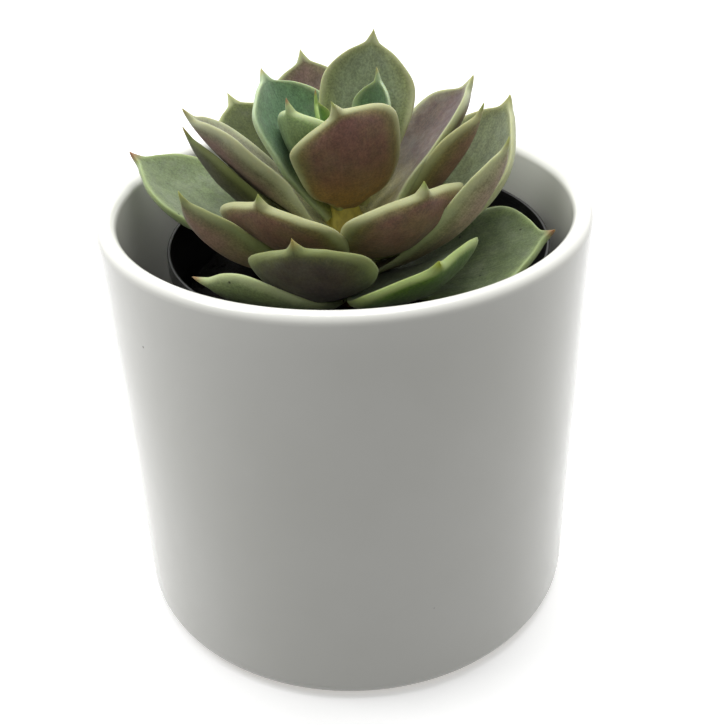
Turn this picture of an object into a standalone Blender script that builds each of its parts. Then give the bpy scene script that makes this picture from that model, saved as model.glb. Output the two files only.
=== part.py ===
"""Potted echeveria: a leaf rosette in a black nursery liner, set in a white glazed cylinder pot.

Metres, +Z up. The origin is the centre of the pot's foot, on the surface the pot stands on.
+X is the rosette's right and -Y its front. A leaf's turn is its compass angle about +Z,
anticlockwise from +X, so the front is 270 degrees.
"""

import math
from collections import namedtuple

import bmesh
import bpy
from mathutils import Matrix, Vector

MM = 0.001
GAP = 0.3 * MM  # clearance between pieces that touch
SMOOTH_ANGLE = math.radians(40)  # edges sharper than this stay crisp

# Ceramic pot
POT_RADIUS = 50.0 * MM
POT_HEIGHT = 93.0 * MM
POT_WALL = 4.0 * MM
POT_FLOOR = 5.0 * MM
POT_HEEL_RADIUS = 4.0 * MM  # rounding where the wall meets the foot
FOOT_OUTER_RADIUS = POT_RADIUS - POT_HEEL_RADIUS
FOOT_INNER_RADIUS = 41.0 * MM
FOOT_RECESS = 1.0 * MM  # how far the underside is hollowed inside the foot ring
POT_SEGMENTS = 64
LIP_STEPS = 6
HEEL_STEPS = 5
FLOOR_STEPS = 3

# Nursery liner: a thin plastic growing pot that stands on the ceramic pot's floor
LINER_CENTRE = Vector((2.6 * MM, 2.0 * MM, 0.0))
LINER_RIM_RADIUS = 40.0 * MM
LINER_BASE_RADIUS = 29.0 * MM
LINER_WALL = 0.8 * MM
LINER_TOP = 83.5 * MM
LINER_BOTTOM = POT_FLOOR + GAP
LINER_LIP_DEPTH = 4.0 * MM  # height of the outward step under the rim
LINER_LIP_STEP = 1.2 * MM
LINER_SEGMENTS = 48
DRAIN_HOLES = 5
DRAIN_HOLE_RADIUS = 3.0 * MM
DRAIN_HOLE_CIRCLE = 18.0 * MM
DRAIN_HOLE_SIDES = 16
DRAIN_CUTTER_DEPTH = 5.0 * MM

# Potting mix
SOIL_LEVEL = 72.0 * MM
SOIL_MOUND = 1.0 * MM  # how much higher the mix stands around the stem
SOIL_LUMP_HEIGHT = 0.5 * MM
SOIL_LUMP_WIDTH = 15.0 * MM
SOIL_LUMP_DEPTH = 17.0 * MM
SOIL_RINGS = 9
SOIL_SEGMENTS = 40

# Stem
STEM_FOOT = 66.0 * MM
STEM_TOP = 95.0 * MM
STEM_RADIUS = 7.0 * MM
STEM_TIP_RADIUS = 1.2 * MM
STEM_TAPER = 1.2  # above 1 keeps the lower stem stout
STEM_DOME = 0.6 * MM  # height of the growing point above the last ring
STEM_RINGS = 10
STEM_SEGMENTS = 20

# Leaf form shared by all leaves
LEAF_GAP = 0.6 * MM  # between the stem and the flat foot of a leaf
LEAF_STATIONS = 12
LEAF_SIDES = 12
MIDRIB_STEPS = 96
LEAF_BASE_WIDTH = 0.36  # of the leaf's full width
LEAF_WIDEST_AT = 0.62  # share of the leaf's length
LEAF_SWELL = 1.6  # above 1 keeps the foot narrow for longer
LEAF_TIP_POWER = 1.2  # above 1 draws the end out into a short point
LEAF_THICKNESS = 0.16  # of the leaf's width
LEAF_BASE_THICKNESS = 0.5  # of the full thickness
LEAF_FULL_AT = 0.5  # share of the length where thickness and cup are full
LEAF_UPPER_SHARE = 0.32  # of the thickness, above the leaf's middle surface
LEAF_EDGE_FALL = 4.0  # how late the leaf thins towards its tip
LEAF_EDGE_POWER = 0.7
LEAF_CURL_POWER = 1.3  # above 1 puts more of the curl near the tip
LEAF_ROLL_AT = 1 / 3  # share of the length where the roll is complete

# Leaf colours, linear RGB
LEAF_COLOURS = {
    "leaf_green": (0.34, 0.50, 0.16),
    "leaf_sage": (0.30, 0.36, 0.24),
    "leaf_blush": (0.33, 0.22, 0.18),
}
LEAF_ROUGHNESS = 0.5

# One leaf. tint: end of the colour's name. turn: compass angle. seat: height of its foot on the
# stem. rise: slope of the midrib at the foot. curl: how much steeper the midrib is at the tip.
# length, width. cup: how far the margins stand above the midrib, as a share of the half width.
# roll: turn about the midrib, positive lifts the anticlockwise margin. bend: sideways bend of the
# midrib, positive towards the anticlockwise side. Degrees and millimetres.
Leaf = namedtuple("Leaf", "name tint turn seat rise curl length width cup roll bend")

LEAVES = [
    # heart of the rosette
    Leaf("leaf_01", "green", 168, 94.2, 80, 4, 21, 7.5, 0.35, 0, 0),
    Leaf("leaf_02", "green", 90, 94.0, 82, 4, 15, 4, 0.35, 0, 0),
    Leaf("leaf_03", "sage", 32, 93.9, 56, 45, 25.6, 10, 0.40, 12, 0),
    Leaf("leaf_04", "green", 199, 92.7, 63, 16, 24.7, 12.3, 0.30, 20, 0),
    # inner leaves
    Leaf("leaf_05", "sage", 62.5, 91.6, 64, 10, 34, 18, 0.30, 27, 0),
    Leaf("leaf_06", "blush", 291.5, 93.3, 58, 32, 25.4, 20.0, 0.20, -4, -26),
    Leaf("leaf_07", "sage", 157, 90.5, 54, 14, 31, 18.6, 0.35, -12, -10),
    Leaf("leaf_08", "blush", 11, 88.0, 40, 20, 36, 21.5, 0.30, -4, 8),
    Leaf("leaf_09", "blush", 111, 88.4, 50, 15, 35, 18.3, 0.30, -5, 0),
    Leaf("leaf_10", "blush", 180.5, 87, 36, 18, 37, 12.3, 0.30, 33, 0),
    # middle leaves
    Leaf("leaf_11", "blush", 226.8, 84.0, 16, 60, 28.5, 24.8, 0.12, 8, 6),
    Leaf("leaf_12", "blush", 312.5, 83.2, 21, 60, 29.5, 24.8, 0.3, -9, -8),
    Leaf("leaf_13", "blush", 352, 84.5, 36, 35, 37, 13, 0.45, -20, 0),
    Leaf("leaf_14", "blush", 257, 79.3, 2, 80, 37.5, 22.8, 0.30, 2, -6),
    Leaf("leaf_15", "sage", 147.5, 86.0, 31.5, 20, 35.5, 18.8, 0.30, -18, -12),
    Leaf("leaf_16", "blush", 207, 78.0, 14, 60, 39.5, 13.8, 0.40, 20, 3),
    Leaf("leaf_17", "blush", 335.1, 77.8, 26, 55, 44, 11.7, 0.40, -10, 0),
    Leaf("leaf_18", "sage", 50, 86.0, 30, 15, 31, 20, 0.30, 0, 0),
    Leaf("leaf_19", "blush", 175.5, 81.3, 33, 30, 38, 11, 0.30, 22, 0),
    # outer leaves
    Leaf("leaf_20", "green", 304.9, 76.7, 10, 45, 36, 26.1, 0.20, 5, -18),
    Leaf("leaf_21", "sage", 164.5, 79.2, 12, 35, 46, 23.0, 0.25, 0, 0),
    Leaf("leaf_22", "sage", 13.1, 80.7, 15, 70, 44.5, 22.3, 0.30, 10, 3),
    Leaf("leaf_23", "sage", 247, 75.4, 4, 60, 36, 18, 0.20, 0, -65),
    Leaf("leaf_24", "sage", 345, 75.0, 8.5, 30, 39, 26, 0.20, 14, 0),
    Leaf("leaf_25", "sage", 85, 82.0, 25, 30, 38, 21, 0.30, 0, 0),
    Leaf("leaf_26", "sage", 112.5, 80.3, 15, 30, 40, 21.5, 0.30, 0, 0),
    Leaf("leaf_27", "sage", 60, 78.0, 10, 30, 40, 22, 0.25, 0, 0),
    Leaf("leaf_28", "sage", 140, 76.5, 5, 30, 38, 22, 0.25, 0, 0),
]


def new_object(name, mesh, material):
    """Links a mesh to the scene as one named, shaded and coloured part."""
    thing = bpy.data.objects.new(name, mesh)
    bpy.context.scene.collection.objects.link(thing)
    mesh.materials.append(material)
    mesh.shade_smooth()
    mesh.set_sharp_from_angle(angle=SMOOTH_ANGLE)
    return thing


def new_material(name, colour, roughness):
    """A Principled material of one colour."""
    material = bpy.data.materials.new(name)
    material.use_nodes = True
    shader = material.node_tree.nodes["Principled BSDF"]
    shader.inputs["Base Color"].default_value = (*colour, 1.0)
    shader.inputs["Roughness"].default_value = roughness
    shader.inputs["Metallic"].default_value = 0.0
    return material


def circle_angles(count):
    """Evenly spaced angles round a full turn."""
    return [2 * math.pi * i / count for i in range(count)]


def arc(centre, radius, start, end, steps):
    """Points (r, z) on an arc about centre, between two angles in degrees."""
    angles = [math.radians(start + (end - start) * i / steps) for i in range(steps + 1)]
    return [(centre[0] + radius * math.cos(a), centre[1] + radius * math.sin(a)) for a in angles]


def join_rings(bm, lower, upper):
    """Faces between two rings. A ring of one vertex makes a fan."""
    count = max(len(lower), len(upper))
    for i in range(count):
        j = (i + 1) % count
        corners = [
            lower[i % len(lower)],
            lower[j % len(lower)],
            upper[j % len(upper)],
            upper[i % len(upper)],
        ]
        bm.faces.new(list(dict.fromkeys(corners)))


def finish_mesh(bm, name):
    """Turns the faces outward and returns them as a mesh."""
    mesh = bpy.data.meshes.new(name)
    bmesh.ops.recalc_face_normals(bm, faces=bm.faces)
    bm.to_mesh(mesh)
    bm.free()
    return mesh


def turned_mesh(name, profile, segments, centre=Vector()):
    """Turns an (r, z) profile that starts and ends on the vertical axis into a closed body."""
    bm = bmesh.new()
    rings = []
    for radius, height in profile:
        angles = circle_angles(1 if radius == 0 else segments)
        rings.append([
            bm.verts.new(centre + Vector((radius * math.cos(a), radius * math.sin(a), height)))
            for a in angles
        ])
    for lower, upper in zip(rings, rings[1:]):
        join_rings(bm, lower, upper)
    return finish_mesh(bm, name)


def ceramic_pot(material):
    """Straight-sided cup with a rolled lip, a rounded heel and a shallow foot ring."""
    inner = POT_RADIUS - POT_WALL
    lip = POT_WALL / 2
    profile = [(0, FOOT_RECESS)]
    profile += [(FOOT_INNER_RADIUS - FOOT_RECESS, FOOT_RECESS)]
    profile += [(FOOT_INNER_RADIUS, 0)]
    profile += arc((FOOT_OUTER_RADIUS, POT_HEEL_RADIUS), POT_HEEL_RADIUS, -90, 0, HEEL_STEPS)
    profile += arc((POT_RADIUS - lip, POT_HEIGHT - lip), lip, 0, 180, LIP_STEPS)
    heel = (inner - POT_HEEL_RADIUS, POT_FLOOR + POT_HEEL_RADIUS)
    profile += arc(heel, POT_HEEL_RADIUS, 0, -90, FLOOR_STEPS)
    profile += [(0, POT_FLOOR)]
    return new_object("ceramic_pot", turned_mesh("ceramic_pot", profile, POT_SEGMENTS), material)


def liner_radius(height):
    """Inner radius of the liner's tapered wall at a height."""
    share = (height - LINER_BOTTOM) / (LINER_TOP - LINER_LIP_DEPTH - LINER_BOTTOM)
    top = LINER_RIM_RADIUS - LINER_WALL - LINER_LIP_STEP
    return LINER_BASE_RADIUS + (top - LINER_BASE_RADIUS) * min(share, 1.0)


def nursery_liner(material):
    """Thin tapered growing pot with a stepped rim and drain holes."""
    step = LINER_TOP - LINER_LIP_DEPTH
    body = liner_radius(step)
    profile = [
        (0, LINER_BOTTOM),
        (LINER_BASE_RADIUS + LINER_WALL, LINER_BOTTOM),
        (body + LINER_WALL, step),
        (LINER_RIM_RADIUS, step + LINER_WALL),
        (LINER_RIM_RADIUS, LINER_TOP),
        (LINER_RIM_RADIUS - LINER_WALL, LINER_TOP),
        (LINER_RIM_RADIUS - LINER_WALL, step + 2 * LINER_WALL),
        (body, step + LINER_WALL),
        (LINER_BASE_RADIUS, LINER_BOTTOM + LINER_WALL),
        (0, LINER_BOTTOM + LINER_WALL),
    ]
    mesh = turned_mesh("nursery_liner", profile, LINER_SEGMENTS, LINER_CENTRE)
    liner = new_object("nursery_liner", mesh, material)
    for angle in circle_angles(DRAIN_HOLES):
        offset = Vector((math.cos(angle), math.sin(angle), 0)) * DRAIN_HOLE_CIRCLE
        bpy.ops.mesh.primitive_cylinder_add(
            vertices=DRAIN_HOLE_SIDES,
            radius=DRAIN_HOLE_RADIUS,
            depth=DRAIN_CUTTER_DEPTH,
            location=LINER_CENTRE + offset + Vector((0, 0, LINER_BOTTOM)),
        )
        cutter = bpy.context.object
        cutter.name = "drain_hole_cutter"
        cutter.hide_render = True
        cutter.display_type = "WIRE"
        cut = liner.modifiers.new("drain_hole", "BOOLEAN")
        cut.object = cutter
    return liner


def soil_height(x, y):
    """Top of the potting mix: a low mound with a lumpy surface."""
    mound = SOIL_MOUND * (1 - math.hypot(x, y) / LINER_RIM_RADIUS)
    lumps = math.sin(2 * math.pi * x / SOIL_LUMP_WIDTH) * math.cos(2 * math.pi * y / SOIL_LUMP_DEPTH)
    return SOIL_LEVEL + mound + SOIL_LUMP_HEIGHT * lumps


def potting_mix(material):
    """Fills the liner to below its rim, with a well for the stem."""
    well = STEM_RADIUS + GAP
    outer = liner_radius(SOIL_LEVEL) - GAP
    bottom = LINER_BOTTOM + LINER_WALL + GAP
    bm = bmesh.new()

    def ring(radius, centre, height_at):
        made = []
        for a in circle_angles(SOIL_SEGMENTS):
            spot = centre + Vector((math.cos(a), math.sin(a), 0)) * radius
            made.append(bm.verts.new((spot.x, spot.y, height_at(spot.x, spot.y))))
        return made

    rings = [[bm.verts.new(LINER_CENTRE + Vector((0, 0, bottom)))]]
    rings.append(ring(LINER_BASE_RADIUS - GAP, LINER_CENTRE, lambda x, y: bottom))
    for i in range(SOIL_RINGS + 1):
        share = i / SOIL_RINGS
        rings.append(ring(outer + (well - outer) * share, LINER_CENTRE * (1 - share), soil_height))
    rings.append(ring(well, Vector(), lambda x, y: STEM_FOOT - GAP))
    rings.append([bm.verts.new((0, 0, STEM_FOOT - GAP))])
    for lower, upper in zip(rings, rings[1:]):
        join_rings(bm, lower, upper)
    bmesh.ops.triangulate(bm, faces=bm.faces)
    return new_object("potting_mix", finish_mesh(bm, "potting_mix"), material)


def stem_radius(height):
    """The stem tapers from the soil to the growing point."""
    share = max(0.0, (height - SOIL_LEVEL) / (STEM_TOP - SOIL_LEVEL))
    return STEM_RADIUS + (STEM_TIP_RADIUS - STEM_RADIUS) * share**STEM_TAPER


def stem(material):
    """Short woody stem that carries the leaves."""
    heights = [STEM_FOOT + (STEM_TOP - STEM_FOOT) * i / STEM_RINGS for i in range(STEM_RINGS + 1)]
    profile = [(0, STEM_FOOT)] + [(stem_radius(h), h) for h in heights] + [(0, STEM_TOP + STEM_DOME)]
    return new_object("stem", turned_mesh("stem", profile, STEM_SEGMENTS), material)


def half_width(share):
    """Half width of a leaf along its length, as a share of its greatest half width."""
    if share < LEAF_WIDEST_AT:
        grown = math.sin(math.pi / 2 * share / LEAF_WIDEST_AT)
        return LEAF_BASE_WIDTH + (1 - LEAF_BASE_WIDTH) * grown**LEAF_SWELL
    past = (share - LEAF_WIDEST_AT) / (1 - LEAF_WIDEST_AT)
    return (1 - past**2) ** LEAF_TIP_POWER


def fullness(share):
    """How far a leaf has grown to its full section, 0 at the foot and 1 from LEAF_FULL_AT on."""
    return math.sin(math.pi / 2 * min(share / LEAF_FULL_AT, 1.0))


def thickness(share):
    """Thickness of a leaf along its length, as a share of its greatest thickness."""
    body = LEAF_BASE_THICKNESS + (1 - LEAF_BASE_THICKNESS) * fullness(share)
    return body * (1 - share**LEAF_EDGE_FALL) ** LEAF_EDGE_POWER


def midrib(leaf):
    """Points along the midrib with the frame there: (point, across, above)."""
    spots = []
    turn = math.radians(leaf.turn)
    outward = Vector((math.cos(turn), math.sin(turn), 0))
    across = Vector((-math.sin(turn), math.cos(turn), 0))
    up = Vector((0, 0, 1))
    seat = leaf.seat * MM
    point = outward * (stem_radius(seat) + LEAF_GAP) + up * seat
    for i in range(MIDRIB_STEPS + 1):
        share = i / MIDRIB_STEPS
        slope = math.radians(leaf.rise + leaf.curl * share**LEAF_CURL_POWER)
        bend = math.radians(leaf.bend * share)
        roll = math.radians(leaf.roll) * min(1.0, share / LEAF_ROLL_AT)
        straight = outward * math.cos(slope) + up * math.sin(slope)
        twist = Matrix.Rotation(roll, 3, straight)
        level = twist @ across
        above = twist @ (up * math.cos(slope) - outward * math.sin(slope))
        along = straight * math.cos(bend) + level * math.sin(bend)
        side = level * math.cos(bend) - straight * math.sin(bend)
        spots.append((point.copy(), side, above))
        point = point + along * (leaf.length * MM / MIDRIB_STEPS)
    return spots


def leaf_mesh(leaf):
    """A thick, cupped, spoon-shaped leaf with a short point at its tip."""
    bm = bmesh.new()
    spots = midrib(leaf)
    half = leaf.width * MM / 2
    depth = leaf.width * MM * LEAF_THICKNESS
    rings = []
    for k in range(LEAF_STATIONS):
        share = math.sin(math.pi / 2 * k / LEAF_STATIONS)
        point, across, above = spots[round(share * MIDRIB_STEPS)]
        wide = half * half_width(share)
        thick = depth * thickness(share)
        cup = leaf.cup * fullness(share)
        ring = []
        for angle in circle_angles(LEAF_SIDES):
            side = math.cos(angle)
            height = math.sin(angle)
            portion = LEAF_UPPER_SHARE if height > 0 else 1 - LEAF_UPPER_SHARE
            lift = cup * wide * side**2 + portion * thick * height
            ring.append(bm.verts.new(point + across * (wide * side) + above * lift))
        rings.append(ring)
    rings.append([bm.verts.new(spots[-1][0])])
    for lower, upper in zip(rings, rings[1:]):
        join_rings(bm, lower, upper)
    bm.faces.new(list(reversed(rings[0])))
    bmesh.ops.triangulate(bm, faces=bm.faces)
    return finish_mesh(bm, leaf.name)


def main():
    for thing in list(bpy.data.objects):
        bpy.data.objects.remove(thing)
    ceramic_pot(new_material("white_glaze", (0.80, 0.81, 0.78), 0.15))
    nursery_liner(new_material("black_plastic", (0.02, 0.02, 0.022), 0.45))
    potting_mix(new_material("potting_mix", (0.02, 0.016, 0.012), 0.95))
    stem(new_material("stem", (0.30, 0.32, 0.14), 0.7))
    skins = {name: new_material(name, colour, LEAF_ROUGHNESS) for name, colour in LEAF_COLOURS.items()}
    for leaf in LEAVES:
        new_object(leaf.name, leaf_mesh(leaf), skins[f"leaf_{leaf.tint}"])


main()
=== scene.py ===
"""Looks of the potted echeveria: fleshy leaves with pale margins, a glazed pot, liner and soil.

Lengths in the constants are millimetres, turned into metres by MM where a shape is made.
+Z is up, -Y is the front. A leaf's turn is its compass angle about +Z, anticlockwise from +X.
"""

import math
import random
from collections import namedtuple

import bmesh
import bpy
from mathutils import Matrix, Vector, noise


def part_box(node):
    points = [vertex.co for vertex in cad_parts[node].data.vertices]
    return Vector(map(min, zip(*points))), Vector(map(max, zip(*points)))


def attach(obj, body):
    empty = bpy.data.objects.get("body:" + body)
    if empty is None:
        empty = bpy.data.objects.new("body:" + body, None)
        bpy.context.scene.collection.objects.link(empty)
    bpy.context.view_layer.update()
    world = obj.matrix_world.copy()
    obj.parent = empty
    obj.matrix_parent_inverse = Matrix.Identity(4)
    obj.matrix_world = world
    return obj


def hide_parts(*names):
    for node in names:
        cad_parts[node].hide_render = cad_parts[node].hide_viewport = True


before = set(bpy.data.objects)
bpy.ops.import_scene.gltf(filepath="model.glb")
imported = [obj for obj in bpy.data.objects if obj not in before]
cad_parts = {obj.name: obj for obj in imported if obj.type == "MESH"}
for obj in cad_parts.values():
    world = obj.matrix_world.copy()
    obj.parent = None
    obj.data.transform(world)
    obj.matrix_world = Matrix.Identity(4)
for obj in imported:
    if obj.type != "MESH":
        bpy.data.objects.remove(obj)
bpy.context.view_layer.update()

MM = 0.001

# ---------------------------------------------------------------- sizes read from the frame
POT_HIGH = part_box("ceramic_pot")[1]
POT_RADIUS = POT_HIGH.x / MM
POT_HEIGHT = POT_HIGH.z / MM
LINER_LOW, LINER_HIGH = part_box("nursery_liner")
LINER_CENTRE = Vector(((LINER_LOW.x + LINER_HIGH.x) / 2, (LINER_LOW.y + LINER_HIGH.y) / 2, 0))
LINER_RIM = (LINER_HIGH.x - LINER_LOW.x) / 2 / MM
LINER_BOTTOM = LINER_LOW.z / MM
LINER_TOP = LINER_HIGH.z / MM
STEM_LOW, STEM_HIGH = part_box("stem")

# ---------------------------------------------------------------- driving dimensions
POT_WALL = 4.0
POT_FLOOR = 5.0
POT_HEEL = 4.0  # rounding where the wall meets the foot and the floor
POT_SEGMENTS = 192
POT_WALL_RINGS = 14
POT_WOBBLE = 0.12  # how far the fired wall is from round
FOOT_INNER = 41.0
FOOT_RECESS = 1.0
FOOT_EDGE = 0.4  # rounding of the foot ring's inner edge

LINER_WALL = 0.8
LINER_BASE = 29.0
LINER_LIP_DEPTH = 4.0
LINER_LIP_STEP = 1.2
LINER_SEGMENTS = 144
LINER_SHARP_ANGLE = 50
DRAIN_HOLES = 5
DRAIN_HOLE_RADIUS = 3.0
DRAIN_HOLE_CIRCLE = 18.0
DRAIN_CUTTER_DEPTH = 5.0
DRAIN_CUTTER_SIDES = 32

SOIL_LEVEL = 72.0
SOIL_SINK = 0.6  # how far the lumpy surface's mean lies below the level
SOIL_MOUND = 1.0  # how much higher it stands around the stem
SOIL_LUMP_WIDTH = 9.0
SOIL_LUMP_HEIGHT = 1.1
SOIL_GAP = 0.1  # between the mix and the liner
SOIL_RINGS = 44
SOIL_SEGMENTS = 150
CRUMBS = 260
CRUMB_SIZES = (0.5, 0.7, 0.9, 1.2, 1.7)
CRUMB_MARGIN = 1.5  # clear of the liner's wall
CRUMB_LIFT = 0.25  # share of its size that a crumb stands above the mix
CRUMB_LUMPS = 0.35

STEM_TOP = 95.0
STEM_RADIUS = 7.0
STEM_TIP_RADIUS = 1.2
STEM_TAPER = 1.2
STEM_SEGMENTS = 64
STEM_RINGS = 40
STEM_TIP_ROUNDING = 0.6
STEM_SKIN = 0.5  # flesh around the stem's core, which the knobs are part of
STEM_KNOB_WIDTH = 3.0
STEM_KNOB_HEIGHT = 0.4

LEAF_SIDES = 40
LEAF_STATIONS = 56
MIDRIB_STEPS = 112
LEAF_SEAT_GAP = 0.6  # from the stem's surface to the place that a row gives
LEAF_START = -3.0  # where a leaf's foot begins, from that place
LEAF_WIDEST_AT = 0.61
LEAF_SWELL = 1.6
ROUND_SWELL = 0.27  # for a leaf whose foot closes in a round, its foot share being 0
LEAF_SHOULDER = 2.8  # above 2 rounds the end of the blade more
LEAF_SHOULDER_POWER = 1.15  # above 1 flares the shoulders into the point
POINT_LENGTH = 4.6
POINT_WIDTH = 2.5
POINT_HOLLOW = 1.3  # above 1 hollows the point's flanks
POINT_REACH = 0.6  # share of the point's length that stands clear of the blade
POINT_BLEND = 1.7  # lower flares the point more smoothly into the shoulders
POINT_FULL_WIDTH = 18.0  # a leaf this wide has a point of POINT_WIDTH
POINT_WIDEST = 1.3  # the most that a wider leaf's point grows by
FOOT_ROUNDING = 0.1  # share of the length over which a foot's end narrows
FOOT_NARROWING = 0.35
LEAF_THICKNESS = 0.15  # share of the width
LEAF_BASE_THICKNESS = 0.5  # share of the full thickness at the foot
LEAF_FOOT_FLESH = 0.5  # added at the foot and gone at the tip
LEAF_TIP_THINNING = 4  # higher keeps the thickness nearer to the tip
LEAF_TIP_ROUNDING = 0.6
LEAF_FULL_AT = 0.5
LEAF_UPPER_SHARE = 0.32  # share of the thickness above the midrib's surface
LEAF_MARGIN_FULLNESS = 0.78  # below 1 rounds the margin more than an ellipse
LEAF_CURL_POWER = 1.3
LEAF_ROLL_AT = 1 / 3
LEAF_UNEVENNESS = 0.35
LEAF_WAVE_LENGTH = 7.0
KEEL_HEIGHT = 0.35
KEEL_WIDTH = 0.16
KEEL_END = 1.05  # above 1 ends the keel just short of the tip
KEEL_AT_FOOT = 0.3  # share of its height that the keel has at the foot

# One leaf: skin names its colours; turn and seat place its foot round and up the stem; rise is the
# slope it starts with and curl is what the slope gains by the tip; cup is how deep it is hollowed;
# roll tips it about its length; bend swings it sideways; foot is its base's share of its width.
# Angles are degrees. Leaves that press against each other are wider than the CAD solids they replace.
Leaf = namedtuple("Leaf", "name skin turn seat rise curl length width cup roll bend foot")

LEAVES = [
    # heart of the rosette
    Leaf("leaf_01", "heart", 168, 94.2, 80, 4, 21, 7.5, 0.35, 0, 0, 0.5),
    Leaf("leaf_02", "heart", 90, 94.0, 82, 4, 15, 4, 0.35, 0, 0, 0.5),
    Leaf("leaf_03", "teal", 32, 93.9, 56, 45, 25.6, 10, 0.40, 12, 0, 0.5),
    Leaf("leaf_04", "mint", 207, 92.7, 61, 17, 24.7, 15, 0.35, 20, 0, 0.3),
    # inner leaves
    Leaf("leaf_05", "sage", 62.5, 91.6, 64, 10, 34, 18, 0.30, 27, 0, 0.45),
    Leaf("leaf_06", "blush", 290.5, 93.3, 58, 32, 25.4, 20.8, 0.22, -4, -26, 0.0),
    Leaf("leaf_07", "teal", 158, 90.5, 54, 14, 31, 20.5, 0.35, -12, -10, 0.45),
    # This leaf's skin is painted darker, as painted shade, because the studio lights it more brightly.
    Leaf("leaf_08", "mauve_painted_shade", 11, 88.0, 40, 20, 36, 21.5, 0.30, -4, 8, 1.0),
    Leaf("leaf_09", "mauve", 111, 88.4, 50, 15, 35, 18.8, 0.30, -5, 0, 0.45),
    Leaf("leaf_10", "lilac", 180.5, 87, 36, 18, 37, 16.5, 0.45, 13, 0, 1.0),
    # middle leaves
    Leaf("leaf_11", "blush", 226.8, 84.0, 16, 60, 28.5, 26, 0.12, 10, 6, 0.6),
    Leaf("leaf_12", "blush", 312.5, 83.2, 21, 60, 29.5, 26.5, 0.25, -9, -8, 0.6),
    Leaf("leaf_13", "blush", 352, 84.5, 36, 35, 37, 13, 0.45, -20, 0, 0.45),
    Leaf("leaf_14", "olive", 257, 79.3, 2, 80, 37.5, 22.8, 0.30, 2, -6, 0.4),
    Leaf("leaf_15", "moss", 147.5, 86.0, 31.5, 20, 35.5, 18.8, 0.30, -18, -12, 0.45),
    Leaf("leaf_16", "rose", 207, 78.0, 14, 60, 39.5, 13.8, 0.40, 20, 3, 0.45),
    Leaf("leaf_17", "clay", 335.5, 77.8, 26, 55, 44, 13, 0.40, -10, 0, 0.6),
    Leaf("leaf_18", "sage", 50, 86.0, 30, 15, 31, 20, 0.30, 0, 0, 0.45),
    Leaf("leaf_19", "olive", 177, 81.3, 33, 30, 38, 13, 0.30, 25, 0, 0.6),
    # outer leaves
    Leaf("leaf_20", "bright", 305, 76.7, 11, 48, 36, 26.8, 0.20, 5, -18, 0.4),
    Leaf("leaf_21", "dusty", 165, 79.2, 12, 35, 46, 24.5, 0.25, 0, 0, 0.4),
    Leaf("leaf_22", "sage", 12.5, 80.6, 15, 70, 44.8, 24.5, 0.30, 10, 3, 0.4),
    # This leaf's skin is painted lighter, as painted light, because the leaf lies in shade.
    Leaf("leaf_23", "dusty_painted_light", 247, 75.4, 4, 60, 36, 18, 0.20, 0, -65, 0.4),
    Leaf("leaf_24", "dusty", 345, 75.0, 8.5, 30, 39, 26, 0.20, 14, 0, 0.4),
    Leaf("leaf_25", "sage", 85, 82.0, 25, 30, 38, 21, 0.30, 0, 0, 0.4),
    Leaf("leaf_26", "sage", 112.5, 80.3, 15, 30, 40, 21.5, 0.30, 0, 0, 0.4),
    Leaf("leaf_27", "dusty", 60, 78.0, 10, 30, 40, 22, 0.25, 0, 0, 0.4),
    Leaf("leaf_28", "dusty", 140, 76.5, 5, 30, 38, 22, 0.25, 0, 0, 0.4),
]

# Youngest leaves, folded over the growing point and seen only from above
BUDS = [
    Leaf("bud_1", "heart", 20, 93.6, 80, 16, 10, 4.4, 0.50, 0, 0, 0.6),
    Leaf("bud_2", "heart", 145, 93.9, 80, 18, 9, 4.0, 0.50, 0, 0, 0.6),
    Leaf("bud_3", "heart", 265, 94.2, 80, 18, 8, 3.6, 0.50, 0, 0, 0.6),
]

# Leaf colours, as screen values: upper face, back, the zone inside the margin, margin, foot, point
Skin = namedtuple("Skin", "upper back halo margin foot point slot")

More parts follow.
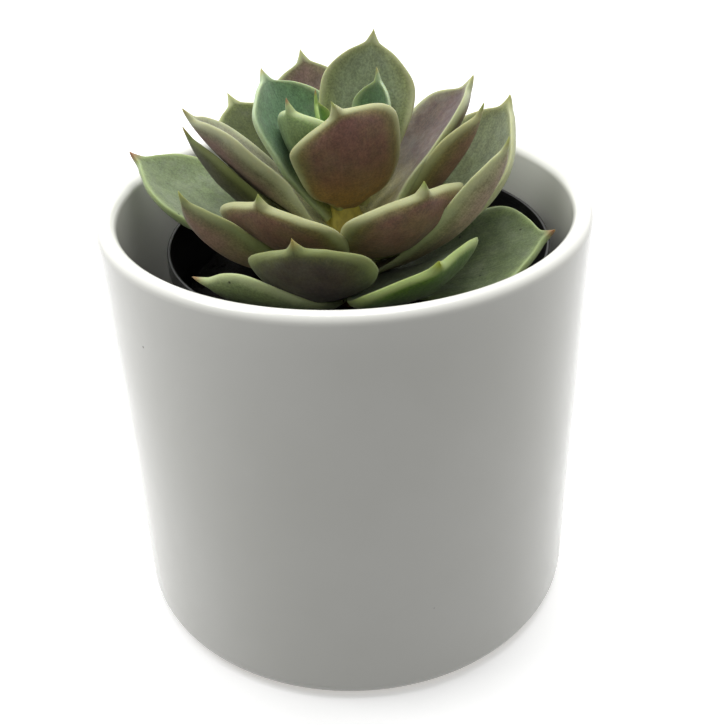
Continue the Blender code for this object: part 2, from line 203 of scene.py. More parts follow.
SKINS = {
    "heart": Skin((84, 140, 42), (90, 145, 45), (110, 150, 50), (165, 190, 110), (120, 140, 50),
                  (160, 110, 90), "leaf_green"),
    "teal": Skin((96, 132, 96), (132, 160, 118), (112, 142, 100), (194, 214, 172), (150, 160, 85),
                 (185, 185, 125), "leaf_sage"),
    "mint": Skin((128, 158, 104), (130, 152, 100), (138, 164, 100), (196, 212, 158), (150, 155, 80),
                 (150, 115, 90), "leaf_green"),
    "sage": Skin((138, 150, 116), (128, 142, 96), (150, 158, 104), (205, 210, 166), (140, 140, 80),
                 (180, 185, 120), "leaf_sage"),
    "blush": Skin((135, 145, 110), (128, 88, 76), (128, 122, 68), (188, 192, 142), (158, 122, 62),
                  (150, 165, 90), "leaf_blush"),
    "mauve": Skin((122, 98, 90), (128, 92, 88), (130, 120, 90), (195, 204, 158), (175, 172, 105),
                  (185, 190, 130), "leaf_blush"),
    # This skin is a darker, slightly pinker copy of the mauve skin. Its darker upper face and zone
    # inside the margin are painted shade for a leaf that the studio lights more brightly.
    "mauve_painted_shade": Skin((80, 53, 51), (128, 92, 88), (112, 104, 74), (190, 198, 152), (205, 200, 140),
                 (185, 190, 130), "leaf_blush"),
    "lilac": Skin((165, 158, 142), (132, 94, 92), (140, 142, 108), (205, 210, 170), (215, 216, 160),
                  (170, 165, 110), "leaf_blush"),
    "rose": Skin((120, 120, 86), (150, 120, 104), (120, 122, 78), (156, 166, 114), (130, 110, 55),
                 (175, 185, 115), "leaf_blush"),
    "clay": Skin((120, 120, 86), (172, 148, 130), (166, 166, 122), (198, 206, 160), (120, 98, 58),
                 (175, 185, 115), "leaf_blush"),
    "olive": Skin((92, 106, 54), (68, 57, 46), (82, 88, 34), (136, 146, 88), (62, 48, 30),
                  (150, 140, 75), "leaf_blush"),
    "bright": Skin((140, 155, 118), (66, 96, 22), (80, 112, 26), (165, 182, 112), (46, 52, 20),
                   (150, 165, 55), "leaf_green"),
    "moss": Skin((84, 94, 50), (100, 108, 60), (104, 116, 58), (195, 202, 150), (110, 100, 70),
                 (180, 185, 120), "leaf_sage"),
    "dusty": Skin((104, 120, 80), (100, 122, 66), (116, 134, 80), (160, 178, 122), (80, 90, 46),
                  (150, 108, 72), "leaf_sage"),
    # This skin is the dusty skin painted lighter all over: painted light for a low leaf that lies in
    # shade.
    "dusty_painted_light": Skin((136, 150, 114), (124, 142, 88), (142, 158, 106), (190, 202, 150), (96, 106, 58),
                  (150, 120, 80), "leaf_sage"),
}
SPECKED_SKINS = ("dusty", "dusty_painted_light", "olive")  # low leaves, with soil splashed on them
SPECKED = 0.8
CLEAN = 0.08
FARINA = (196, 200, 186)  # the wax bloom
SOIL_SPECK = (38, 34, 24)

# ---------------------------------------------------------------- camera and studio
CAMERA_PLACE = Vector((0, -196.1, 176.4)) * MM
CAMERA_YAW = 0.66
CAMERA_PITCH = 32.25
CAMERA_ROLL = -1.72
CAMERA_LENS = 51.1
SENSOR = 36.0

WORLD_BACK = 1.6
WORLD_FRONT = 0.36
WORLD_BELOW = 0.55  # share of the light that comes up from below
FLOOR_SIZE = 6.0
FLOOR_GLOW = 0.34  # a lit card, so it stays white around the pot
LIGHTS_AIM = Vector((0, 0, 0.08))

random.seed(7)
noise.seed_set(7)  # the leaves' unevenness draws its offsets from this


# ---------------------------------------------------------------- node helpers
def linear(colour):
    """A screen colour, 0 to 255, as linear RGBA."""
    shares = [value / 255 for value in colour]
    return (*[s / 12.92 if s <= 0.04045 else ((s + 0.055) / 1.055) ** 2.4 for s in shares], 1.0)


def node(tree, kind, inputs=None, **settings):
    """Adds a shader node. Inputs are numbers, colours or sockets to link from."""
    made = tree.nodes.new(kind)
    for name, value in settings.items():
        setattr(made, name, value)
    for key, value in (inputs or {}).items():
        if isinstance(value, bpy.types.NodeSocket):
            tree.links.new(value, made.inputs[key])
        else:
            made.inputs[key].default_value = value
    return made


def blend(tree, factor, first, second, mode="MIX"):
    """Mixes two colours."""
    inputs = {0: factor, 6: first, 7: second}
    return node(tree, "ShaderNodeMix", inputs, data_type="RGBA", blend_type=mode).outputs[2]


def calc(tree, operation, first, second=0.0):
    """One step of arithmetic."""
    return node(tree, "ShaderNodeMath", {0: first, 1: second}, operation=operation).outputs[0]


def ease(tree, value, low, high, to_low=0.0, to_high=1.0):
    """Rises smoothly from to_low to to_high as value goes from low to high."""
    inputs = {"Value": value, "From Min": low, "From Max": high, "To Min": to_low, "To Max": to_high}
    return node(tree, "ShaderNodeMapRange", inputs, interpolation_type="SMOOTHSTEP").outputs[0]


def part_of(tree, vector, axis):
    """One number of a vector or colour."""
    return node(tree, "ShaderNodeSeparateXYZ", {"Vector": vector}).outputs[axis]


def grain(tree, coords, scale, detail=2.0, roughness=0.5):
    """Noise from 0 to 1, centred on 0.5."""
    inputs = {"Vector": coords, "Scale": scale, "Detail": detail, "Roughness": roughness}
    return node(tree, "ShaderNodeTexNoise", inputs).outputs["Fac"]


def varied(tree, noise_value, low, high):
    """The middle of a noise's range, spread from low to high."""
    return ease(tree, noise_value, 0.3, 0.7, low, high)


def dots(tree, coords, scale, rarity, core, edge, strength=1.0):
    """Scattered dots, strength inside and 0 outside. rarity is the range of draws that fade one in."""
    cells = node(tree, "ShaderNodeTexVoronoi", {"Vector": coords, "Scale": scale, "Randomness": 1.0})
    chosen = ease(tree, part_of(tree, cells.outputs["Color"], "X"), *rarity)
    dot = ease(tree, cells.outputs["Distance"], core, edge, strength, 0.0)
    return calc(tree, "MULTIPLY", dot, chosen)


def new_material(name):
    """A node material with its Principled shader and object coordinates in metres."""
    material = bpy.data.materials.new(name)
    material.use_nodes = True
    tree = material.node_tree
    shader = tree.nodes["Principled BSDF"]
    coords = tree.nodes.new("ShaderNodeTexCoord").outputs["Object"]
    return material, tree, shader, coords


def bumped(tree, shader, height, distance, strength=1.0):
    """Sends a height field to the shader's normal."""
    bump = node(tree, "ShaderNodeBump", {"Height": height, "Distance": distance, "Strength": strength})
    tree.links.new(bump.outputs["Normal"], shader.inputs["Normal"])


# ---------------------------------------------------------------- materials
def leaf_skin(name, skin, specks):
    """Waxy leaf: coloured upper face and back, halo, pale margin, yellow foot, farina and speckle.

    specks is how strongly crumbs of soil darken it.
    """
    material, tree, shader, coords = new_material(name)
    blade = node(tree, "ShaderNodeAttribute", attribute_name="blade").outputs["Vector"]
    side, share, height = [part_of(tree, blade, axis) for axis in "XYZ"]
    rim = node(tree, "ShaderNodeAttribute", attribute_name="rim").outputs["Fac"]
    upper = ease(tree, height, -0.2, 0.2)

    wander = calc(tree, "SUBTRACT", grain(tree, coords, scale=260.0, detail=3.0), 0.5)
    wander = calc(tree, "MULTIPLY", wander, 1.4)
    halo_at = calc(tree, "ADD", rim, wander)
    margin_at = calc(tree, "ADD", rim, calc(tree, "MULTIPLY", wander, 0.5))
    lengthwise = node(tree, "ShaderNodeCombineXYZ", {
        "X": calc(tree, "MULTIPLY", side, 9.0),
        "Y": calc(tree, "MULTIPLY", share, 1.6),
        "Z": upper,
    }).outputs[0]

    colour = blend(tree, upper, linear(skin.back), linear(skin.upper))
    blotch = grain(tree, coords, scale=150.0, detail=3.0, roughness=0.6)
    colour = blend(tree, ease(tree, blotch, 0.35, 0.7, 0.0, 0.28), colour, linear(skin.halo))
    colour = blend(tree, ease(tree, halo_at, 0.6, 4.6, 0.9, 0.0), colour, linear(skin.halo))
    colour = blend(tree, ease(tree, share, 0.02, 0.5, 1.0, 0.0), colour, linear(skin.foot))

    mottle = varied(tree, grain(tree, coords, scale=420.0, detail=4.0, roughness=0.6), 0.86, 1.14)
    streaks = varied(tree, grain(tree, lengthwise, scale=1.6, detail=3.0), 0.92, 1.08)
    speckle = varied(tree, grain(tree, coords, scale=2300.0, detail=2.0, roughness=0.7), 0.78, 1.22)
    tone = calc(tree, "MULTIPLY", calc(tree, "MULTIPLY", mottle, streaks), speckle)
    colour = blend(tree, 1.0, colour, tone, "MULTIPLY")

    farina = grain(tree, coords, scale=170.0, detail=5.0, roughness=0.65)
    farina = ease(tree, farina, 0.42, 0.75, 0.0, 0.14)
    farina = calc(tree, "MULTIPLY", farina, ease(tree, height, -0.9, 0.6, 0.35, 1.0))
    colour = blend(tree, farina, colour, linear(FARINA))
    colour = blend(tree, ease(tree, margin_at, 0.1, 1.8, 0.82, 0.0), colour, linear(skin.margin))
    colour = blend(tree, ease(tree, share, 0.93, 0.99), colour, linear(skin.point))
    splashes = dots(tree, coords, 330.0, rarity=(0.6, 0.64), core=0.05, edge=0.13, strength=specks)
    colour = blend(tree, splashes, colour, linear(SOIL_SPECK))
    tree.links.new(colour, shader.inputs["Base Color"])

    roughness = varied(tree, grain(tree, coords, scale=900.0, detail=3.0), 0.46, 0.62)
    tree.links.new(roughness, shader.inputs["Roughness"])
    shader.inputs["Subsurface Weight"].default_value = 0.25
    shader.inputs["Subsurface Radius"].default_value = (1.0, 0.8, 0.3)
    shader.inputs["Subsurface Scale"].default_value = 1.5 * MM
    shader.inputs["Specular IOR Level"].default_value = 0.35
    shader.inputs["Sheen Weight"].default_value = 0.12
    shader.inputs["Sheen Roughness"].default_value = 0.6
    pores = grain(tree, coords, scale=2200.0)
    veins = grain(tree, lengthwise, scale=3.0)
    bumped(tree, shader, calc(tree, "ADD", pores, veins), 0.05 * MM, 0.6)
    return material


def glaze():
    """White glaze with faint tone, pin specks and a bare clay foot."""
    material, tree, shader, coords = new_material("white_glaze")
    tone = ease(tree, grain(tree, coords, scale=22.0, detail=3.0), 0.3, 0.7)
    colour = blend(tree, tone, linear((232, 232, 225)), linear((238, 238, 232)))
    pins = dots(tree, coords, 55.0, rarity=(0.72, 0.74), core=0.010, edge=0.018)
    colour = blend(tree, calc(tree, "MULTIPLY", pins, 0.75), colour, linear((92, 84, 70)))
    bare = ease(tree, part_of(tree, coords, "Z"), 0.6 * MM, 1.3 * MM, 1.0, 0.0)
    grit = grain(tree, coords, scale=1500.0, detail=3.0)
    clay = blend(tree, grit, linear((205, 190, 165)), linear((228, 216, 196)))
    colour = blend(tree, bare, colour, clay)
    tree.links.new(colour, shader.inputs["Base Color"])
    shine = varied(tree, grain(tree, coords, scale=60.0), 0.13, 0.19)
    rough = node(tree, "ShaderNodeMix", {0: bare, 2: shine, 3: 0.8}, data_type="FLOAT").outputs[0]
    tree.links.new(rough, shader.inputs["Roughness"])
    ripple = calc(tree, "ADD", grain(tree, coords, scale=40.0), calc(tree, "MULTIPLY", pins, -0.4))
    bumped(tree, shader, ripple, 0.12 * MM, 0.5)
    return material


def liner_plastic():
    """Black moulded plastic, painted darker still as painted shade for the liner's dark inside, dusty,
    with fine turning lines.
    """
    material, tree, shader, coords = new_material("black_plastic")
    dust = grain(tree, coords, scale=180.0, detail=5.0, roughness=0.7)
    dust = ease(tree, dust, 0.5, 0.8, 0.0, 0.3)
    colour = blend(tree, dust, linear((14, 14, 15)), linear((70, 69, 66)))
    tree.links.new(colour, shader.inputs["Base Color"])
    tree.links.new(ease(tree, dust, 0.0, 0.5, 0.35, 0.7), shader.inputs["Roughness"])
    inputs = {"Vector": coords, "Scale": 500.0, "Distortion": 1.0}
    lines = node(tree, "ShaderNodeTexWave", inputs, wave_type="BANDS", bands_direction="Z")
    bumped(tree, shader, lines.outputs["Fac"], 0.03 * MM, 0.4)
    return material


def soil_skin(name, dark, light):
    """Near-black mix with brown fibres: dark of its own, and painted darker still as painted shade
    inside the liner.
    """
    material, tree, shader, coords = new_material(name)
    fibres = grain(tree, coords, scale=900.0, detail=6.0, roughness=0.7)
    fibres = ease(tree, fibres, 0.35, 0.7)
    tree.links.new(blend(tree, fibres, linear(dark), linear(light)), shader.inputs["Base Color"])
    tree.links.new(ease(tree, fibres, 0.0, 1.0, 0.75, 0.95), shader.inputs["Roughness"])
    lumps = grain(tree, coords, scale=1600.0, detail=5.0, roughness=0.7)
    bumped(tree, shader, lumps, 0.3 * MM)
    return material


def stem_skin():
    """Yellow-green crown tissue going brown towards the soil."""
    material, tree, shader, coords = new_material("stem")
    woody_height = 9
    fresh = part_of(tree, coords, "Z")
    fresh = ease(tree, fresh, SOIL_LEVEL * MM, (SOIL_LEVEL + woody_height) * MM)
    colour = blend(tree, fresh, linear((110, 76, 42)), linear((206, 194, 96)))
    tone = varied(tree, grain(tree, coords, scale=700.0, detail=4.0), 0.8, 1.15)
    tree.links.new(blend(tree, 1.0, colour, tone, "MULTIPLY"), shader.inputs["Base Color"])
    tree.links.new(ease(tree, tone, 0.8, 1.15, 0.5, 0.7), shader.inputs["Roughness"])
    bumped(tree, shader, grain(tree, coords, scale=900.0, detail=4.0), 0.2 * MM)
    return material


def floor_skin():
    """Plain pale card."""
    material, tree, shader, coords = new_material("floor_card")
    tone = ease(tree, grain(tree, coords, scale=30.0, detail=3.0), 0.3, 0.7)
    colour = blend(tree, tone, linear((240, 240, 240)), linear((243, 243, 243)))
    tree.links.new(colour, shader.inputs["Base Color"])
    shader.inputs["Roughness"].default_value = 0.7
    shader.inputs["Specular IOR Level"].default_value = 0.2
    shader.inputs["Emission Color"].default_value = (1, 1, 1, 1)
    shader.inputs["Emission Strength"].default_value = FLOOR_GLOW
    return material


# ---------------------------------------------------------------- shape helpers
def new_piece(name, bm, material):
    """Turns a bmesh into a smooth, named object with outward faces."""
    bmesh.ops.recalc_face_normals(bm, faces=bm.faces)
    mesh = bpy.data.meshes.new(name)
    bm.to_mesh(mesh)
    bm.free()
    mesh.materials.append(material)
    mesh.shade_smooth()
    piece = bpy.data.objects.new(name, mesh)
    bpy.context.scene.collection.objects.link(piece)
    return piece


def stand_for(piece, node_name):
    """The piece takes a CAD node's place and rides with the object's one body."""
    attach(piece, "root")
    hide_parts(node_name)


def arc(centre, radius, start, end, steps):
    """Points (r, z) on an arc, between two angles in degrees."""
    angles = [math.radians(start + (end - start) * i / steps) for i in range(steps + 1)]
    return [(centre[0] + radius * math.cos(a), centre[1] + radius * math.sin(a)) for a in angles]


def join_rings(bm, lower, upper):
    """Faces between two rings. A ring of one vertex makes a fan."""
    count = max(len(lower), len(upper))
    for i in range(count):
        j = (i + 1) % count
        below = [lower[i % len(lower)], lower[j % len(lower)]]
        above = [upper[j % len(upper)], upper[i % len(upper)]]
        bm.faces.new(list(dict.fromkeys(below + above)))


def turned(profile, segments, centre=Vector(), wobble=0.0):
    """Turns an (r, z) profile in millimetres about a vertical axis. wobble makes it a little oval."""
    bm = bmesh.new()
    rings = []
    for radius, height in profile:
        ring = []
        for i in range(1 if radius == 0 else segments):
            a = 2 * math.pi * i / segments
            out = radius + wobble * math.sin(2 * a + 0.7) * radius / POT_RADIUS
            spot = Vector((out * math.cos(a), out * math.sin(a), height))
            ring.append(bm.verts.new(centre + spot * MM))
        rings.append(ring)
    for lower, upper in zip(rings, rings[1:]):
        join_rings(bm, lower, upper)
    return bm


# ---------------------------------------------------------------- pot, liner, soil, stem
def make_pot():
    """Straight-sided cup with a rolled lip, rounded heel and shallow foot ring."""
    inner = POT_RADIUS - POT_WALL
    lip = POT_WALL / 2
    top, bottom = POT_HEIGHT - lip, POT_FLOOR + POT_HEEL
    steps = [i / POT_WALL_RINGS for i in range(1, POT_WALL_RINGS)]
    profile = [(0, FOOT_RECESS), (FOOT_INNER - 2 * FOOT_RECESS, FOOT_RECESS)]
    profile += arc((FOOT_INNER + FOOT_EDGE, FOOT_EDGE), FOOT_EDGE, 180, 270, 3)
    profile += arc((POT_RADIUS - POT_HEEL, POT_HEEL), POT_HEEL, -90, 0, 12)
    profile += [(POT_RADIUS, POT_HEEL + (top - POT_HEEL) * step) for step in steps]
    profile += arc((POT_RADIUS - lip, top), lip, 0, 180, 16)
    profile += [(inner, top + (bottom - top) * step) for step in steps]
    profile += arc((inner - POT_HEEL, bottom), POT_HEEL, 0, -90, 8)
    profile += [(0, POT_FLOOR)]
    pot = new_piece("glazed_pot", turned(profile, POT_SEGMENTS, wobble=POT_WOBBLE), glaze())
    stand_for(pot, "ceramic_pot")


def liner_radius(height):
    """Inner radius of the liner's tapered wall."""
    share = (height - LINER_BOTTOM) / (LINER_TOP - LINER_LIP_DEPTH - LINER_BOTTOM)
    top = LINER_RIM - LINER_WALL - LINER_LIP_STEP
    return LINER_BASE + (top - LINER_BASE) * min(share, 1.0)


def make_liner():
    """Thin nursery pot with a beaded rim, a step under it and drain holes."""
    step = LINER_TOP - LINER_LIP_DEPTH
    body = liner_radius(step)
    bead = LINER_WALL / 2
    profile = [(0, LINER_BOTTOM), (LINER_BASE + LINER_WALL, LINER_BOTTOM), (body + LINER_WALL, step)]
    profile += arc((LINER_RIM - bead, step + bead), bead, -90, 0, 4)
    profile += arc((LINER_RIM - bead, LINER_TOP - bead), bead, 0, 180, 8)
    profile += [(body, step - LINER_WALL)]
    profile += [(LINER_BASE, LINER_BOTTOM + LINER_WALL), (0, LINER_BOTTOM + LINER_WALL)]
    liner = new_piece("growing_pot", turned(profile, LINER_SEGMENTS, LINER_CENTRE), liner_plastic())
    for i in range(DRAIN_HOLES):
        a = 2 * math.pi * i / DRAIN_HOLES
        spot = Vector((math.cos(a), math.sin(a), 0)) * DRAIN_HOLE_CIRCLE * MM
        bpy.ops.mesh.primitive_cylinder_add(
            vertices=DRAIN_CUTTER_SIDES,
            radius=DRAIN_HOLE_RADIUS * MM,
            depth=DRAIN_CUTTER_DEPTH * MM,
            location=LINER_CENTRE + spot + Vector((0, 0, LINER_BOTTOM * MM)),
        )
        cutter = bpy.context.object
        cut = liner.modifiers.new("drain", "BOOLEAN")
        cut.object = cutter
        with bpy.context.temp_override(object=liner, active_object=liner):
            bpy.ops.object.modifier_apply(modifier="drain")
        bpy.data.objects.remove(cutter)
    liner.data.set_sharp_from_angle(angle=math.radians(LINER_SHARP_ANGLE))
    stand_for(liner, "nursery_liner")


def soil_height(x, y):
    """Lumpy top of the potting mix, in millimetres."""
    mound = SOIL_MOUND * (1 - math.hypot(x, y) / LINER_RIM)
    lumps = noise.fractal(Vector((x / SOIL_LUMP_WIDTH, y / SOIL_LUMP_WIDTH, 0.3)), 0.8, 2.1, 5)
    return SOIL_LEVEL - SOIL_SINK + mound + SOIL_LUMP_HEIGHT * lumps


def add_crumb(bm, place, size):
    """An irregular crumb: a small ball pushed about by noise."""
    made = bmesh.ops.create_icosphere(bm, subdivisions=2, radius=1.0)
    angle = random.uniform(0, 6.28)
    axis = Vector((random.random(), random.random(), 1)).normalized()
    turn = Matrix.Rotation(angle, 3, axis)
    squash = Vector((1.0, random.uniform(0.55, 0.95), random.uniform(0.4, 0.8)))
    shift = Vector((random.random(), random.random(), random.random())) * 50
    for v in made["verts"]:
        lumpy = 1 + CRUMB_LUMPS * noise.noise(v.co * 1.7 + shift)
        v.co = place + (turn @ (v.co * squash * lumpy)) * size


def make_soil():
    """Potting mix: a closed body with a lumpy top that fills the liner."""
    outer = liner_radius(SOIL_LEVEL) - SOIL_GAP
    bottom = LINER_BOTTOM + LINER_WALL + SOIL_GAP
    centre = LINER_CENTRE / MM
    bm = bmesh.new()
    rings = [[bm.verts.new(Vector((centre.x, centre.y, bottom)) * MM)]]
    levels = [(LINER_BASE - 2 * SOIL_GAP, bottom)]
    levels += [(outer * (1 - i / SOIL_RINGS), None) for i in range(SOIL_RINGS)]
    for radius, level in levels:
        ring = []
        for i in range(SOIL_SEGMENTS):
            a = 2 * math.pi * i / SOIL_SEGMENTS
            x, y = centre.x + radius * math.cos(a), centre.y + radius * math.sin(a)
            height = soil_height(x, y) if level is None else level
            ring.append(bm.verts.new(Vector((x, y, height)) * MM))
        rings.append(ring)
    middle = Vector((centre.x, centre.y, soil_height(centre.x, centre.y)))
    rings.append([bm.verts.new(middle * MM)])
    for lower, upper in zip(rings, rings[1:]):
        join_rings(bm, lower, upper)
    # The mix's colours are partly its own dark colour and partly painted shade inside the liner.
    soil = new_piece("potting_mix_bed", bm, soil_skin("dark_mix_and_painted_shade", (12, 10, 9), (30, 25, 20)))
    stand_for(soil, "potting_mix")


def make_crumbs():
    """Loose crumbs that lie on the potting mix."""
    centre = LINER_CENTRE / MM
    reach = liner_radius(SOIL_LEVEL) - SOIL_GAP - CRUMB_MARGIN
    bm = bmesh.new()
    for _ in range(CRUMBS):
        a = random.uniform(0, 2 * math.pi)
        radius = reach * math.sqrt(random.uniform(0.03, 1))
        size = random.choice(CRUMB_SIZES)
        x, y = centre.x + radius * math.cos(a), centre.y + radius * math.sin(a)
        place = Vector((x, y, soil_height(x, y) + CRUMB_LIFT * size))
        add_crumb(bm, place * MM, size * MM)
    # The crumbs' colours are painted darker too, as painted shade inside the liner.
    loose = new_piece("soil_crumbs", bm, soil_skin("bark_crumbs", (16, 13, 10), (48, 38, 29)))
    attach(loose, "root")


def stem_radius(height):
    """The stem's radius: it tapers from the soil to the growing point."""
    share = max(0.0, (height - SOIL_LEVEL) / (STEM_TOP - SOIL_LEVEL))
    return STEM_RADIUS + (STEM_TIP_RADIUS - STEM_RADIUS) * share**STEM_TAPER


def make_stem():
    """Short knobbly stem and crown."""
    low, high = STEM_LOW.z / MM, STEM_HIGH.z / MM
    length = high - STEM_TIP_ROUNDING - low
    heights = [low + length * i / STEM_RINGS for i in range(STEM_RINGS + 1)]
    profile = [(0, low)] + [(stem_radius(h) + STEM_SKIN, h) for h in heights] + [(0, high)]
    bm = turned(profile, STEM_SEGMENTS)
    for v in bm.verts:
        out = Vector((v.co.x, v.co.y, 0))
        if out.length > 0:
            knob = noise.fractal(v.co / MM / STEM_KNOB_WIDTH, 1.0, 2.0, 3)
            v.co += out.normalized() * knob * STEM_KNOB_HEIGHT * MM
    stem = new_piece("crown_stem", bm, stem_skin())
    stand_for(stem, "stem")


# ---------------------------------------------------------------- leaves
def fullness(share):
    """How far a leaf has grown to its full section."""
    return math.sin(math.pi / 2 * min(share / LEAF_FULL_AT, 1.0))


def half_width(leaf, share):
    """Half width in millimetres: narrow foot, round shoulders, then the drawn-out point."""
    half = leaf.width / 2
    point_share = POINT_LENGTH / leaf.length
    blade_end = 1 - POINT_REACH * point_share
    if share < LEAF_WIDEST_AT:
        grown = math.sin(math.pi / 2 * share / LEAF_WIDEST_AT)
        swell = LEAF_SWELL if leaf.foot else ROUND_SWELL
        blade = half * (leaf.foot + (1 - leaf.foot) * grown**swell)
        start = 1 - min(1.0, share / FOOT_ROUNDING)
        blade *= 1 - FOOT_NARROWING * start**2
    else:
        past = min(1.0, (share - LEAF_WIDEST_AT) / (blade_end - LEAF_WIDEST_AT))
        blade = half * (1 - past**LEAF_SHOULDER) ** LEAF_SHOULDER_POWER
    point = POINT_WIDTH * min(POINT_WIDEST, leaf.width / POINT_FULL_WIDTH)
    point *= min(1.0, (1 - share) / point_share) ** POINT_HOLLOW
    return (blade**POINT_BLEND + point**POINT_BLEND) ** (1 / POINT_BLEND)


def thickness(leaf, share):
    """Thickness in millimetres."""
    body = LEAF_BASE_THICKNESS + (1 - LEAF_BASE_THICKNESS) * fullness(share)
    end = (1 - share**LEAF_TIP_THINNING) ** LEAF_TIP_ROUNDING
    return leaf.width * LEAF_THICKNESS * body * end + LEAF_FOOT_FLESH * (1 - share)


def midrib(leaf):
    """Points in millimetres along the midrib, each with its directions: across, above and along."""
    spots = []
    turn = math.radians(leaf.turn)
    outward = Vector((math.cos(turn), math.sin(turn), 0))
    across = Vector((-math.sin(turn), math.cos(turn), 0))
    up = Vector((0, 0, 1))
    point = outward * (stem_radius(leaf.seat) + LEAF_SEAT_GAP) + up * leaf.seat
    for i in range(MIDRIB_STEPS + 1):
        share = i / MIDRIB_STEPS
        slope = math.radians(leaf.rise + leaf.curl * share**LEAF_CURL_POWER)
        bend = math.radians(leaf.bend * share)
        roll = math.radians(leaf.roll) * min(1.0, share / LEAF_ROLL_AT)
        straight = outward * math.cos(slope) + up * math.sin(slope)
        twist = Matrix.Rotation(roll, 3, straight)
        level = twist @ across
        above = twist @ (up * math.cos(slope) - outward * math.sin(slope))
        along = straight * math.cos(bend) + level * math.sin(bend)
        side = level * math.cos(bend) - straight * math.sin(bend)
        spots.append((point.copy(), side, above, along))
        point = point + along * (leaf.length / MIDRIB_STEPS)
    return spots


def section(leaf, share, point, across, above):
    """The cross-section at a share of the length: (spot, side, height) round it.

    side goes from -1 to 1 across the blade, and height from -1 below to 1 above.
    """
    wide = half_width(leaf, share)
    thick = thickness(leaf, share)
    cup = leaf.cup * fullness(share)
    keel = KEEL_HEIGHT * math.sin(math.pi * min(1.0, share * KEEL_END))
    keel *= KEEL_AT_FOOT + (1 - KEEL_AT_FOOT) * share
    outline = []
    for i in range(LEAF_SIDES):
        angle = 2 * math.pi * i / LEAF_SIDES
        side, height = math.cos(angle), math.sin(angle)
        swell = math.copysign(abs(height) ** LEAF_MARGIN_FULLNESS, height)
        portion = LEAF_UPPER_SHARE if height > 0 else 1 - LEAF_UPPER_SHARE
        lift = cup * wide * side**2 + portion * thick * swell
        if height < 0:
            lift -= keel * math.exp(-((side / KEEL_WIDTH) ** 2))
        outline.append((point + across * (wide * side) + above * lift, side, height))
    return outline


def make_leaf(leaf, material):
    """A thick, cupped blade with a rounded margin, a keel and a short sharp point.

    Each corner keeps its place on the blade and its distance from the rim, for the leaf's skin.
    """
    spots = midrib(leaf)
    bm = bmesh.new()
    blade = bm.verts.layers.float_vector.new("blade")
    rim = bm.verts.layers.float.new("rim")
    drift = Vector((leaf.turn, leaf.seat, leaf.length))
    rings = []
    for k in range(LEAF_STATIONS):
        share = math.sin(math.pi / 2 * k / LEAF_STATIONS)
        place = share * MIDRIB_STEPS
        step = min(int(place), MIDRIB_STEPS - 1)
        before, after = spots[step], spots[step + 1]
        point, across, above = [before[n].lerp(after[n], place - step) for n in range(3)]
        if k == 0:
            point = point + spots[0][3] * LEAF_START * math.cos(math.radians(leaf.rise))
        ring = []
        for spot, side, height in section(leaf, share, point, across, above):
            wave = noise.noise_vector(spot / LEAF_WAVE_LENGTH + drift)
            v = bm.verts.new((spot + wave * LEAF_UNEVENNESS * fullness(share)) * MM)
            v[blade] = Vector((side, share, height))
            v[rim] = (1 - abs(side)) * half_width(leaf, share)
            ring.append(v)
        rings.append(ring)
    tip = spots[-1][0]
    wave = noise.noise_vector(tip / LEAF_WAVE_LENGTH + drift)
    end = bm.verts.new((tip + wave * LEAF_UNEVENNESS) * MM)
    end[blade] = Vector((0, 1, 0))
    rings.append([end])
    for lower, upper in zip(rings, rings[1:]):
        join_rings(bm, lower, upper)
    bm.faces.new(list(reversed(rings[0])))
    return new_piece(f"{leaf.name}_blade", bm, material)


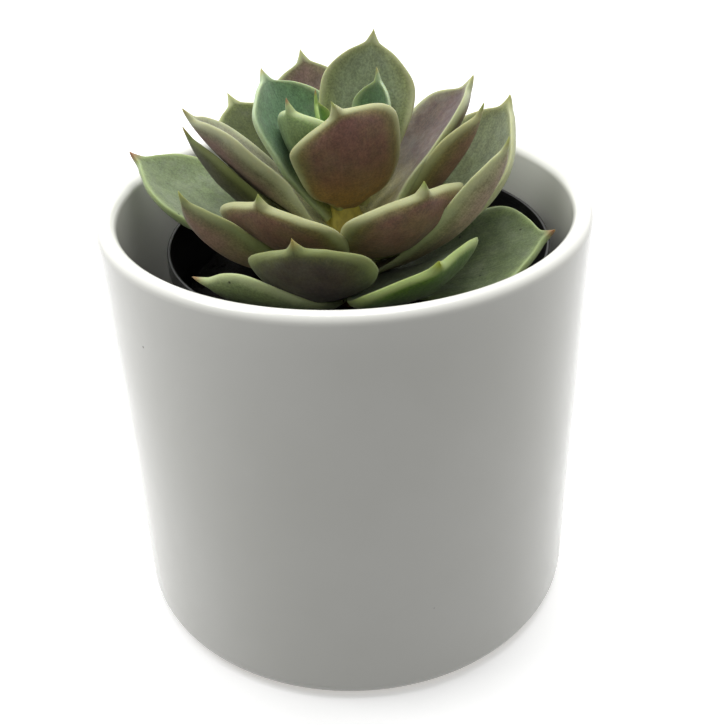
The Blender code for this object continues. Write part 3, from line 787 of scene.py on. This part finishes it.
# ---------------------------------------------------------------- stage
def make_stage():
    """Pale floor, a soft bright studio behind and above, and two soft lamps."""
    bm = bmesh.new()
    bmesh.ops.create_grid(bm, x_segments=4, y_segments=4, size=FLOOR_SIZE / 2)
    floor = new_piece("studio_floor", bm, floor_skin())
    floor.visible_diffuse = False

    world = bpy.data.worlds.new("studio")
    world.use_nodes = True
    bpy.context.scene.world = world
    tree = world.node_tree
    toward = node(tree, "ShaderNodeTexCoord").outputs["Generated"]
    from_behind = ease(tree, part_of(tree, toward, "Y"), -0.25, 0.75, WORLD_FRONT, WORLD_BACK)
    from_above = ease(tree, part_of(tree, toward, "Z"), -0.15, 0.1, WORLD_BELOW, 1.0)
    light = calc(tree, "MULTIPLY", from_behind, from_above)
    sky = tree.nodes["Background"]
    sky.inputs["Color"].default_value = (1.0, 1.0, 0.99, 1.0)
    tree.links.new(light, sky.inputs["Strength"])

    add_softbox("softbox_left", place=(-0.40, -0.04, 0.70), size=0.3, power=1.5)
    add_softbox("softbox_top", place=(0.05, 0.10, 0.90), size=0.5, power=3.8)


def add_softbox(name, place, size, power):
    """A square area light that faces the plant."""
    lamp = bpy.data.lights.new(name, "AREA")
    lamp.size = size
    lamp.energy = power
    thing = bpy.data.objects.new(name, lamp)
    thing.location = place
    aim = LIGHTS_AIM - thing.location
    thing.rotation_euler = aim.to_track_quat("-Z", "Y").to_euler()
    bpy.context.scene.collection.objects.link(thing)


def make_camera():
    """Looks down at the pot from the front, from a little above the plant."""
    yaw, pitch, roll = [math.radians(a) for a in (CAMERA_YAW, CAMERA_PITCH, CAMERA_ROLL)]
    level = Vector((math.cos(yaw), -math.sin(yaw), 0))
    forward = Vector((math.sin(yaw), math.cos(yaw), 0))
    ahead = forward * math.cos(pitch) - Vector((0, 0, math.sin(pitch)))
    above = level.cross(ahead)
    right = level * math.cos(roll) + above * math.sin(roll)
    up = above * math.cos(roll) - level * math.sin(roll)
    data = bpy.data.cameras.new("camera")
    data.lens = CAMERA_LENS
    data.sensor_width = SENSOR
    camera = bpy.data.objects.new("camera", data)
    turned_to = Matrix((right, up, -ahead)).transposed().to_4x4()
    camera.matrix_world = Matrix.Translation(CAMERA_PLACE) @ turned_to
    bpy.context.scene.collection.objects.link(camera)
    bpy.context.scene.camera = camera


make_camera()
make_stage()
make_pot()
make_liner()
make_soil()
make_crumbs()
make_stem()
skin_materials = {
    name: leaf_skin(f"leaf_{name}", skin, SPECKED if name in SPECKED_SKINS else CLEAN)
    for name, skin in SKINS.items()
}
for row in LEAVES:
    stand_for(make_leaf(row, skin_materials[row.skin]), row.name)
for row in BUDS:
    bud = make_leaf(row, skin_materials[row.skin])
    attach(bud, "root")

bpy.context.scene.view_settings.view_transform = "Standard"
